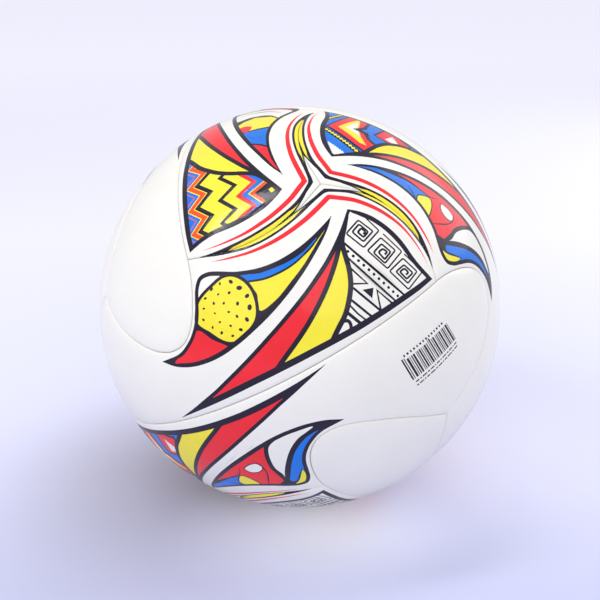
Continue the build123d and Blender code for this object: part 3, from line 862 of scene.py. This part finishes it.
def panel_mesh(art, rings, spacing, hole):
    """A panel triangulated in its chart: points, triangles and ink per triangle."""
    points, edges = [], []

    def chain(run, closed=True):
        start, count = len(points), len(run)
        points.extend(map(tuple, run))
        edges.extend((start + i, start + i + 1) for i in range(count - 1))
        if closed:
            edges.append((start + count - 1, start))

    outline = to_chart(inset_ring(EDGE_IN))
    chain(outline)
    for distance in rings:
        ring = inset_ring(distance)
        clear = rim_distance(ring)[0] > distance * CLEAR_PART
        run = []
        # the extra last entry ends the last run
        for point, is_clear in zip([*to_chart(ring), None], [*clear, False]):
            if is_clear:
                run.append(point)
                continue
            if len(run) > 1:
                chain(run, closed=False)
            run = []
    points.extend(map(tuple, grid_points(outline, spacing, max(rings) + 0.5 * spacing)))
    if art is not None:
        for run in art.chains:
            chain(run)
    if hole:
        for radius in (HOLE_R, HOLE_R + 0.35, HOLE_R + 0.9):
            chain(hole_circle(radius))

    result = delaunay_2d_cdt([Vector(point) for point in points], edges, [], 0, 1e-4)
    flat = np.array([tuple(point) for point in result[0]])
    faces = np.array([face for face in result[2] if len(face) == 3], np.int64)
    middle = flat[faces].mean(1)
    area = np.cross(flat[faces[:, 1]] - flat[faces[:, 0]], flat[faces[:, 2]] - flat[faces[:, 0]])
    keep = inside(outline, middle[:, 0], middle[:, 1]) & (np.abs(area) > 1e-7)
    if hole:
        keep &= ~inside(hole_circle(HOLE_R), middle[:, 0], middle[:, 1])
    faces, middle, area = faces[keep], middle[keep], area[keep]
    faces[area < 0] = faces[area < 0][:, ::-1]
    inks = np.zeros(len(faces), np.int32) if art is None else art.colour(middle)
    used = np.unique(faces)
    renumber = -np.ones(len(flat), np.int64)
    renumber[used] = np.arange(len(used))
    return flat[used], renumber[faces], inks


def build_shell(flat, faces, inks, radii, hole):
    """Closed sheet between two radii: vertices on the sphere's rays (mm), faces and inks."""
    rays = to_sphere(flat)
    top, bottom = radii(*rim_distance(rays))
    if hole:
        from_axis = BALL_R * np.arccos(np.clip(rays @ VALVE_LOCAL, -1, 1))
        dip = np.clip(1 - (from_axis - HOLE_R) / HOLE_DIP_W, 0, 1)**2
        top = top - HOLE_DIP_H * dip
    count = len(flat)
    verts = np.vstack([rays * top[:, None], rays * bottom[:, None]])
    edges = np.vstack([faces[:, [0, 1]], faces[:, [1, 2]], faces[:, [2, 0]]])
    edges = {(int(a), int(b)) for a, b in edges}
    rim = [(a, b) for a, b in edges if (b, a) not in edges]
    solid = [tuple(face) for face in faces]
    solid += [(c + count, b + count, a + count) for a, b, c in faces]
    solid += [(b, a, a + count, b + count) for a, b in rim]
    hidden = np.zeros(len(faces) + len(rim), np.int32)
    return verts, solid, np.concatenate([inks, hidden])


def cover_radii(distance, phase):
    return face_radius(distance, phase), face_radius(distance, 0.0) - COVER_T


def foam_radii(distance, _phase):
    under = face_radius(distance, 0.0) - COVER_T
    return under - FOAM_GAP, np.maximum(under - FOAM_REACH, FOAM_MIN_R)


@cache
def cover_shell(design, bars, hole):
    red_shift, *cells = DESIGNS[design]
    art = Artwork()
    paint_arms(art, red_shift)
    paint_cells(art, *cells)
    if bars:
        paint_bars(art)
    rings = (0.16, 0.28, 0.5, 0.85, 1.4, 2.2, 3.4, 5.0)
    return build_shell(*panel_mesh(art, rings, 2.4, hole), cover_radii, hole)


@cache
def foam_shell(hole):
    return build_shell(*panel_mesh(None, (1.0, 2.4, 4.4), 5.0, hole), foam_radii, hole)


def add_object(name, verts, faces, materials, slot, ride="ball", replaces=None, inks=None):
    """A smooth-shaded mesh object from points in mm, made known to the frame."""
    mesh = bpy.data.meshes.new(name)
    mesh.from_pydata([tuple(point) for point in verts * MM], [],
                     [tuple(int(i) for i in face) for face in faces])
    for material in materials:
        mesh.materials.append(material)
    if inks is not None:
        mesh.polygons.foreach_set("material_index", inks)
    mesh.polygons.foreach_set("use_smooth", np.ones(len(mesh.polygons), bool))
    mesh.update()
    obj = bpy.data.objects.new(name, mesh)
    bpy.context.scene.collection.objects.link(obj)
    if replaces:
        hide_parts(replaces)
    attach(obj, ride)


# ------------------------------------------------------------------ shader helpers
def linear(rgb, scale=1):
    """Scene colour with alpha from 0-255 sRGB values."""
    out = []
    for value in rgb:
        value /= 255
        out.append(value / 12.92 if value <= 0.04045 else ((value + 0.055) / 1.055)**2.4)
    return [value * scale for value in out] + [1]


def set_inputs(tree, node, inputs):
    """Link each named input to a socket, or give it a value."""
    for name, value in inputs.items():
        if isinstance(value, bpy.types.NodeSocket):
            tree.links.new(value, node.inputs[name])
        else:
            node.inputs[name].default_value = value


def add(tree, kind, output, inputs=None, **settings):
    """A new shader node; hands back one of its outputs."""
    node = tree.nodes.new("ShaderNode" + kind)
    for name, value in settings.items():
        setattr(node, name, value)
    set_inputs(tree, node, inputs or {})
    return node.outputs[output]


def noise(tree, place, scale, detail):
    return add(tree, "TexNoise", "Fac", {"Vector": place, "Scale": scale, "Detail": detail})


def ramp(tree, factor, *stops):
    """A colour ramp through (position, colour) stops."""
    node = tree.nodes.new("ShaderNodeValToRGB")
    tree.links.new(factor, node.inputs["Fac"])
    elements = node.color_ramp.elements
    for element, (position, colour) in zip(elements, (stops[0], stops[-1])):
        element.position = position
        element.color = colour
    for position, colour in stops[1:-1]:
        elements.new(position).color = colour
    return node.outputs["Color"]


def map_range(tree, value, source=(0, 1), target=(0, 1), kind="LINEAR"):
    return add(tree, "MapRange", "Result", {
        "Value": value, "From Min": source[0], "From Max": source[1],
        "To Min": target[0], "To Max": target[1]}, interpolation_type=kind)


def bump(tree, height, strength, distance, **over):
    """Bumped normals; distance in metres, over an earlier Normal if given."""
    return add(tree, "Bump", "Normal", {
        "Height": height, "Strength": strength, "Distance": distance, **over})


def calculate(tree, operation, *values):
    return add(tree, "Math", 0, dict(enumerate(values)), operation=operation)


def multiply_colour(tree, factor, colour, by):
    return add(tree, "Mix", "Result", {"Factor": factor, "A": colour, "B": by},
               data_type="RGBA", blend_type="MULTIPLY")


def new_material(name):
    material = bpy.data.materials.new(name)
    material.use_nodes = True
    return material, material.node_tree, material.node_tree.nodes["Principled BSDF"]


# ------------------------------------------------------------------ materials
def ink_material(name, rgb, shade):
    """Printed skin: fine pebble grain, mottling darkened by up to shade, soft gloss."""
    material, tree, surface = new_material(name)
    place = add(tree, "TexCoord", "Object")
    broad = noise(tree, place, scale=38.0, detail=5.0)
    mottled = ramp(tree, broad, (0.3, linear(rgb, 1 - shade)), (0.75, linear(rgb)))
    speck = noise(tree, place, scale=1500.0, detail=2.0)
    pebble = add(tree, "TexVoronoi", "Distance", {"Vector": place, "Scale": 1250.0},
                 feature="SMOOTH_F1")
    ripple = noise(tree, place, scale=150.0, detail=3.0)
    grain = bump(tree, pebble, strength=0.11, distance=0.0002)
    normal = bump(tree, ripple, strength=0.12, distance=0.0004, Normal=grain)
    set_inputs(tree, surface, {
        "Base Color": multiply_colour(tree, shade, mottled, speck),
        "Normal": normal,
        "Coat Normal": normal,
        "Roughness": map_range(tree, broad, target=(0.29, 0.41)),
        "Coat Weight": 0.45,
        "Coat Roughness": 0.13,
        "Specular IOR Level": 0.12,
        "IOR": 1.48,
    })
    return material


def rubber_material(name, value, rough):
    """Near-black rubber of a given brightness, faintly mottled."""
    material, tree, surface = new_material(name)
    grain = noise(tree, add(tree, "TexCoord", "Object"), scale=420.0, detail=6.0)
    set_inputs(tree, surface, {
        "Base Color": ramp(tree, grain, (0, (value * 0.75, value * 0.75, value * 0.8, 1)),
                           (1, (value * 1.3, value * 1.3, value * 1.35, 1))),
        "Roughness": map_range(tree, grain, target=(rough - 0.1, rough + 0.12)),
        "Normal": bump(tree, grain, strength=0.25, distance=0.0001),
    })
    return material


def woven_material(name, rgb, scale, rough):
    """Cloth or thread: two crossed sets of waves."""
    material, tree, surface = new_material(name)
    place = add(tree, "TexCoord", "Object")
    waves = [add(tree, "TexWave", "Fac", {"Vector": place, "Scale": scale, "Distortion": 0.6},
                 bands_direction=axis) for axis in "XY"]
    weave = calculate(tree, "MULTIPLY", *waves)
    set_inputs(tree, surface, {
        "Base Color": ramp(tree, weave, (0, linear(rgb, 0.7)), (1, linear(rgb))),
        "Normal": bump(tree, weave, strength=0.5, distance=0.0002),
        "Roughness": rough,
        "Sheen Weight": 0.3,
    })
    return material


# in the order of the ink numbers
INK_RGB = {"white": (243, 241, 233), "navy": (27, 20, 44), "yellow": (255, 240, 62),
           "red": (248, 40, 52), "blue": (4, 122, 232), "orange": (250, 86, 34)}
inks = [ink_material("ink_" + name, rgb, shade=0.035 if name == "white" else 0.10)
        for name, rgb in INK_RGB.items()]
foam = woven_material("foam", (238, 234, 222), scale=1400.0, rough=0.9)
lining = woven_material("lining_weave", (226, 222, 212), scale=700.0, rough=0.88)
thread = woven_material("waxed_thread", (222, 222, 226), scale=2200.0, rough=0.5)
bladder_rubber = rubber_material("bladder_rubber", value=0.02, rough=0.42)
valve_rubber = rubber_material("valve_rubber", value=0.018, rough=0.5)
plug_rubber = rubber_material("plug_rubber", value=0.035, rough=0.55)

# ------------------------------------------------------------------ panels in place
for panel, panel_turn in enumerate(TURNS):
    hole = panel == VALVE_PANEL
    cover = cover_shell(PANEL_DESIGN[panel], panel == BAR_PANEL, hole)
    for label, node, shell, materials, slot in (
            ("cover_skin", "cover_panel", cover, inks, "printed_cover"),
            ("foam_sheet", "foam_backing", foam_shell(hole), [foam], "foam")):
        verts, faces, face_inks = shell
        add_object(f"{label}_{panel + 1:02d}", verts @ (REST @ panel_turn).T, faces, materials,
                   slot, replaces=f"{node}_{panel + 1:02d}", inks=face_inks)


# ------------------------------------------------------------------ stitches over the seams
LOOP_SIDES, LOOP_JOINTS = 6, 7
LOOP_REACH = 0.72             # half a loop's length
LOOP_R = 0.23
LOOP_SLANT = 0.35             # lean along the seam
LOOP_BASE_R = BASE_R - SAG_H - ROLL_H - 0.02
SEAM_END = 1.6                # no stitch is nearer than this to a seam's end


def stitch_places(length, centred):
    if centred:
        count = int(length / 2 // STITCH)
        places = [length / 2 + j * STITCH for j in range(-count, count + 1)]
    else:
        places = [j * STITCH for j in range(1, int((length - SEAM_END) // STITCH) + 1)]
    return [x for x in places if SEAM_END < x < length - SEAM_END]


def stitch_mesh(line, centred):
    """Small thread loops across a seam at each stitch."""
    run, ahead = lengths(line) * BALL_R, tangents(line)
    verts, faces = [], []
    for place in stitch_places(run[-1], centred):
        up, along = unit(point_at(place, run, line)), unit(point_at(place, run, ahead))
        across = unit(np.cross(up, along) + LOOP_SLANT * along)
        base = len(verts)
        for joint in range(LOOP_JOINTS):
            part_way = (joint / (LOOP_JOINTS - 1)) * 2 - 1     # -1 to 1 across the seam
            depth = LOOP_BASE_R - 0.10 * abs(part_way)**1.5
            centre = unit(up * BALL_R + across * (part_way * LOOP_REACH)) * depth
            radius = LOOP_R * (1 - 0.35 * abs(part_way)**3)
            for side in range(LOOP_SIDES):
                angle = 2 * math.pi * side / LOOP_SIDES
                verts.append(centre + radius * (math.cos(angle) * along + math.sin(angle) * up))
        for joint in range(LOOP_JOINTS - 1):
            for side in range(LOOP_SIDES):
                a = base + joint * LOOP_SIDES + side
                b = base + joint * LOOP_SIDES + (side + 1) % LOOP_SIDES
                faces.append((a, b, b + LOOP_SIDES, a + LOOP_SIDES))
        first_end = range(base, base + LOOP_SIDES)
        faces.append(tuple(first_end)[::-1])
        faces.append(tuple(i + (LOOP_JOINTS - 1) * LOOP_SIDES for i in first_end))
    return np.array(verts), faces


for kind in ("arm", "hook", "side"):
    line = SEAMS[kind]
    verts, faces = stitch_mesh(line, centred=kind == "side")
    all_verts, all_faces, placed = [], [], []
    for panel_turn in TURNS:
        image = line @ panel_turn.T
        middle = image[len(image) // 2]
        # two panels share a seam, so an image that lies on an earlier one is passed over
        if any(np.linalg.norm(other - middle, axis=1).min() < 0.005 for other in placed):
            continue
        base = len(placed) * len(verts)
        placed.append(image)
        all_verts.append(verts @ (REST @ panel_turn).T)
        all_faces += [tuple(i + base for i in face) for face in faces]
    add_object(f"{kind}_seam_stitches", np.vstack(all_verts), all_faces, [thread], "thread")

# ------------------------------------------------------------------ valve
VALVE_AXIS = REST @ TURNS[VALVE_PANEL] @ VALVE_LOCAL
VALVE_ACROSS = axes_across(VALVE_AXIS, (1.0, 0.2, 0.1))
VALVE_SIDES = 96


def lathe(name, profile, material, **known_as):
    """Turned piece on the valve's axis; closed loop of (radius, distance from the centre)."""
    first, second = VALVE_ACROSS
    angles = np.linspace(0, 2 * math.pi, VALVE_SIDES, endpoint=False)
    verts = [VALVE_AXIS * z + radius * (math.cos(angle) * first + math.sin(angle) * second)
             for radius, z in profile for angle in angles]
    faces = []
    for k in range(len(profile)):
        row, next_row = k * VALVE_SIDES, (k + 1) % len(profile) * VALVE_SIDES
        for side in range(VALVE_SIDES):
            after = (side + 1) % VALVE_SIDES
            faces.append((row + side, row + after, next_row + after, next_row + side))
    add_object(name, np.array(verts), faces, [material], **known_as)


def arc(x, z, radius, start, end, count):
    """Points on a circle about x, z, between two angles in degrees."""
    return [(x + radius * math.cos(math.radians(angle)), z + radius * math.sin(math.radians(angle)))
            for angle in np.linspace(start, end, count)]


def flange_point(radius, drop):
    """A point drop mm below the seat sphere."""
    return radius, math.sqrt((VALVE_SEAT_R - drop)**2 - radius**2)


def valve_collar():
    top, seat = VALVE_TOP_R, VALVE_SEAT_R
    profile = [
        (2.6, top - 18.0), (2.6, top - 2.1), (3.5, top - 1.95),
        *arc(3.75, top - 0.25, 0.25, 180, 90, 4),
        *arc(4.05, top - 0.45, 0.45, 90, 0, 5),
        (4.5, seat + 0.6), (4.9, seat - 0.05),
        flange_point(14.5, 0.1), flange_point(15.0, 0.5), flange_point(14.4, 1.1),
        flange_point(7.2, 1.15), (6.1, seat - 2.2), (5.9, seat - 3.3), (4.5, seat - 3.4),
        (4.5, top - 17.6), (4.1, top - 18.0)]
    lathe("valve_collar", profile, valve_rubber, replaces="valve_housing", slot="valve_rubber")


def needle_plug():
    top = VALVE_TOP_R - 0.15
    profile = [
        (0.02, top - 7.0), (0.9, top - 6.95), (1.05, top - 6.7), (1.05, top - 0.75),
        *arc(1.55, top - 0.62, 0.5, 180, 90, 5),
        (1.9, top - 0.10), (2.15, top - 0.22), (2.4, top - 0.10), (2.7, top - 0.02),
        *arc(3.1, top - 0.35, 0.35, 90, 0, 5),
        (3.45, top - 1.7), (3.35, top - 1.8), (2.6, top - 1.82), (2.55, top - 1.95),
        (2.55, top - 12.4), (2.3, top - 13.9), (1.9, top - 14.4), (1.2, top - 14.5),
        (0.02, top - 14.5)]
    lathe("needle_plug", profile, plug_rubber, replaces="valve_plug", ride="plug",
          slot="plug_rubber")


valve_collar()
needle_plug()


# ------------------------------------------------------------------ carried-over pieces
def finish_of(name):
    if name.startswith("lining_cloth") or name == "valve_patch":
        return lining
    if name.endswith("seam_thread"):
        return thread
    if name in ("bladder", "balance_patch"):
        return bladder_rubber
    for start, material in (("foam", foam), ("cover", inks[WHITE]), ("valve", valve_rubber)):
        if name.startswith(start):
            return material
    return None


for name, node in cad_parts.items():
    material = finish_of(name)
    if material is not None:
        node.data.materials.clear()
        node.data.materials.append(material)

# ------------------------------------------------------------------ floor (m)
FLOOR_Z = -BALL_R * MM


def floor_spot(tree, place, x, y, radius, stretch=1.0):
    """1 at a place on the floor, fading smoothly to 0 at the radius; stretch narrows it in Y."""
    away = add(tree, "VectorMath", 0, {0: place, 1: (x, y, FLOOR_Z)}, operation="SUBTRACT")
    away = add(tree, "VectorMath", 0, {0: away, 1: (1, stretch, 0)}, operation="MULTIPLY")
    distance = add(tree, "VectorMath", "Value", {0: away}, operation="LENGTH")
    return map_range(tree, distance, (0, radius), (1, 0), "SMOOTHSTEP")


def floor_material():
    """Pale paper, lighter far away through a painted light falloff, with a soft painted shadow and
    soft painted light (emission seen only by the camera) near the ball and far off.
    """
    material, tree, surface = new_material("floor_paper")
    place = add(tree, "NewGeometry", "Position")
    reach = add(tree, "VectorMath", "Value", {0: place}, operation="LENGTH")
    behind = map_range(tree, add(tree, "SeparateXYZ", "Y", {0: place}), (-0.35, 1.2))
    around = map_range(tree, reach, (0.25, 1.8), kind="SMOOTHSTEP")
    # painted light falloff: the paper colour runs from darker lilac in front and near the ball to
    # lighter far away
    paper_and_painted_falloff = ramp(tree, calculate(tree, "MAXIMUM", behind, around),
                 (0.16, linear((203, 206, 236))),
                 (0.21, linear((220, 222, 249))),
                 (0.5, linear((240, 240, 255))))
    # painted shadow: a darker patch on the floor left of and under the ball, multiplied into the
    # paper colour
    shade = floor_spot(tree, place, x=-0.085, y=-0.015, radius=0.13)
    shade = calculate(tree, "MULTIPLY", shade, 0.62)
    # painted light: emission pools on the floor in front of and right of the ball, seen only by
    # camera rays
    painted_light_near = floor_spot(tree, place, x=0.008, y=-0.058, radius=0.095, stretch=1.6)
    painted_light_near = calculate(tree, "MULTIPLY", painted_light_near, 0.34)
    painted_light_side = floor_spot(tree, place, x=0.115, y=0.02, radius=0.12)
    painted_light = calculate(tree, "MULTIPLY_ADD", painted_light_side, 0.15, painted_light_near)
    # painted light: emission that brightens the far floor
    painted_light_far = map_range(tree, reach, (0.25, 2.2), (0, 0.22), "SMOOTHSTEP")
    painted_light = calculate(tree, "ADD", painted_light, painted_light_far)
    camera_ray = add(tree, "LightPath", "Is Camera Ray")
    set_inputs(tree, surface, {
        "Base Color": multiply_colour(tree, shade, paper_and_painted_falloff, (0.40, 0.38, 0.36, 1)),
        "Emission Color": (0.94, 0.95, 1.0, 1),
        "Emission Strength": calculate(tree, "MULTIPLY", painted_light, camera_ray),
        "Roughness": 0.75,
    })
    return material


bpy.ops.mesh.primitive_grid_add(x_subdivisions=2, y_subdivisions=2, size=1)
floor = bpy.context.object
floor.name = "floor"
floor.scale = (80, 80, 1)
floor.location = (0, 0, FLOOR_Z)
floor.data.materials.append(floor_material())


# ------------------------------------------------------------------ world, lights, camera (m)
def build_world():
    """Even white light; the camera itself sees a slightly darker tint."""
    world = bpy.data.worlds.new("studio")
    bpy.context.scene.world = world
    world.use_nodes = True
    tree = world.node_tree
    light = tree.nodes["Background"]
    set_inputs(tree, light, {"Color": linear((250, 250, 255)), "Strength": 0.76})
    seen = add(tree, "Background", 0, {"Color": linear((242, 242, 254)), "Strength": 1.0})
    camera_ray = add(tree, "LightPath", "Is Camera Ray")
    pick = add(tree, "MixShader", 0, {0: camera_ray, 1: light.outputs[0], 2: seen})
    tree.links.new(pick, tree.nodes["World Output"].inputs["Surface"])


def add_light(name, place, size, power, width=None, turn=None):
    """A disk aimed at the ball's centre, or with a width and a turn a rectangle."""
    data = bpy.data.lights.new(name, "AREA")
    data.shape = "RECTANGLE" if width else "DISK"
    data.size = size
    if width:
        data.size_y = width
    data.energy = power
    light = bpy.data.objects.new(name, data)
    bpy.context.scene.collection.objects.link(light)
    light.location = place
    light.rotation_mode = "QUATERNION"
    light.rotation_quaternion = turn or (-Vector(place)).to_track_quat("-Z", "Y")


def facing_centre(place, long_side):
    """Turn that faces the ball's centre, with local X leaning along long_side."""
    back = Vector(place).normalized()
    across = back.cross(Vector(long_side)).normalized()
    return Matrix((across.cross(back), across, back)).transposed().to_quaternion()


def add_camera():
    data = bpy.data.cameras.new("camera")
    data.sensor_width = 36.0
    data.lens = 46.476
    data.shift_y = 0.01083333
    camera = bpy.data.objects.new("camera", data)
    bpy.context.scene.collection.objects.link(camera)
    distance = 3.9812 * BALL_R * MM
    camera.location = Vector((0, -math.cos(VIEW_TILT), math.sin(VIEW_TILT))) * distance
    camera.rotation_euler = (math.radians(90) - VIEW_TILT, 0, 0)
    bpy.context.scene.camera = camera


build_world()
bpy.context.scene.view_settings.view_transform = "Standard"
STRIP_PLACE = (-0.50, -0.20, 1.03)
add_light("strip_top", STRIP_PLACE, size=0.75, power=3.7, width=0.12,
          turn=facing_centre(STRIP_PLACE, long_side=(-0.60, -0.16, -0.34)))
add_light("softbox_front", (-0.75, -1.05, 0.80), size=1.1, power=2.9)
add_light("softbox_low", (0.65, -2.05, 1.50), size=1.6, power=9.0)
add_light("softbox_back", (0.95, 0.50, 0.62), size=1.0, power=3.8)
add_camera()
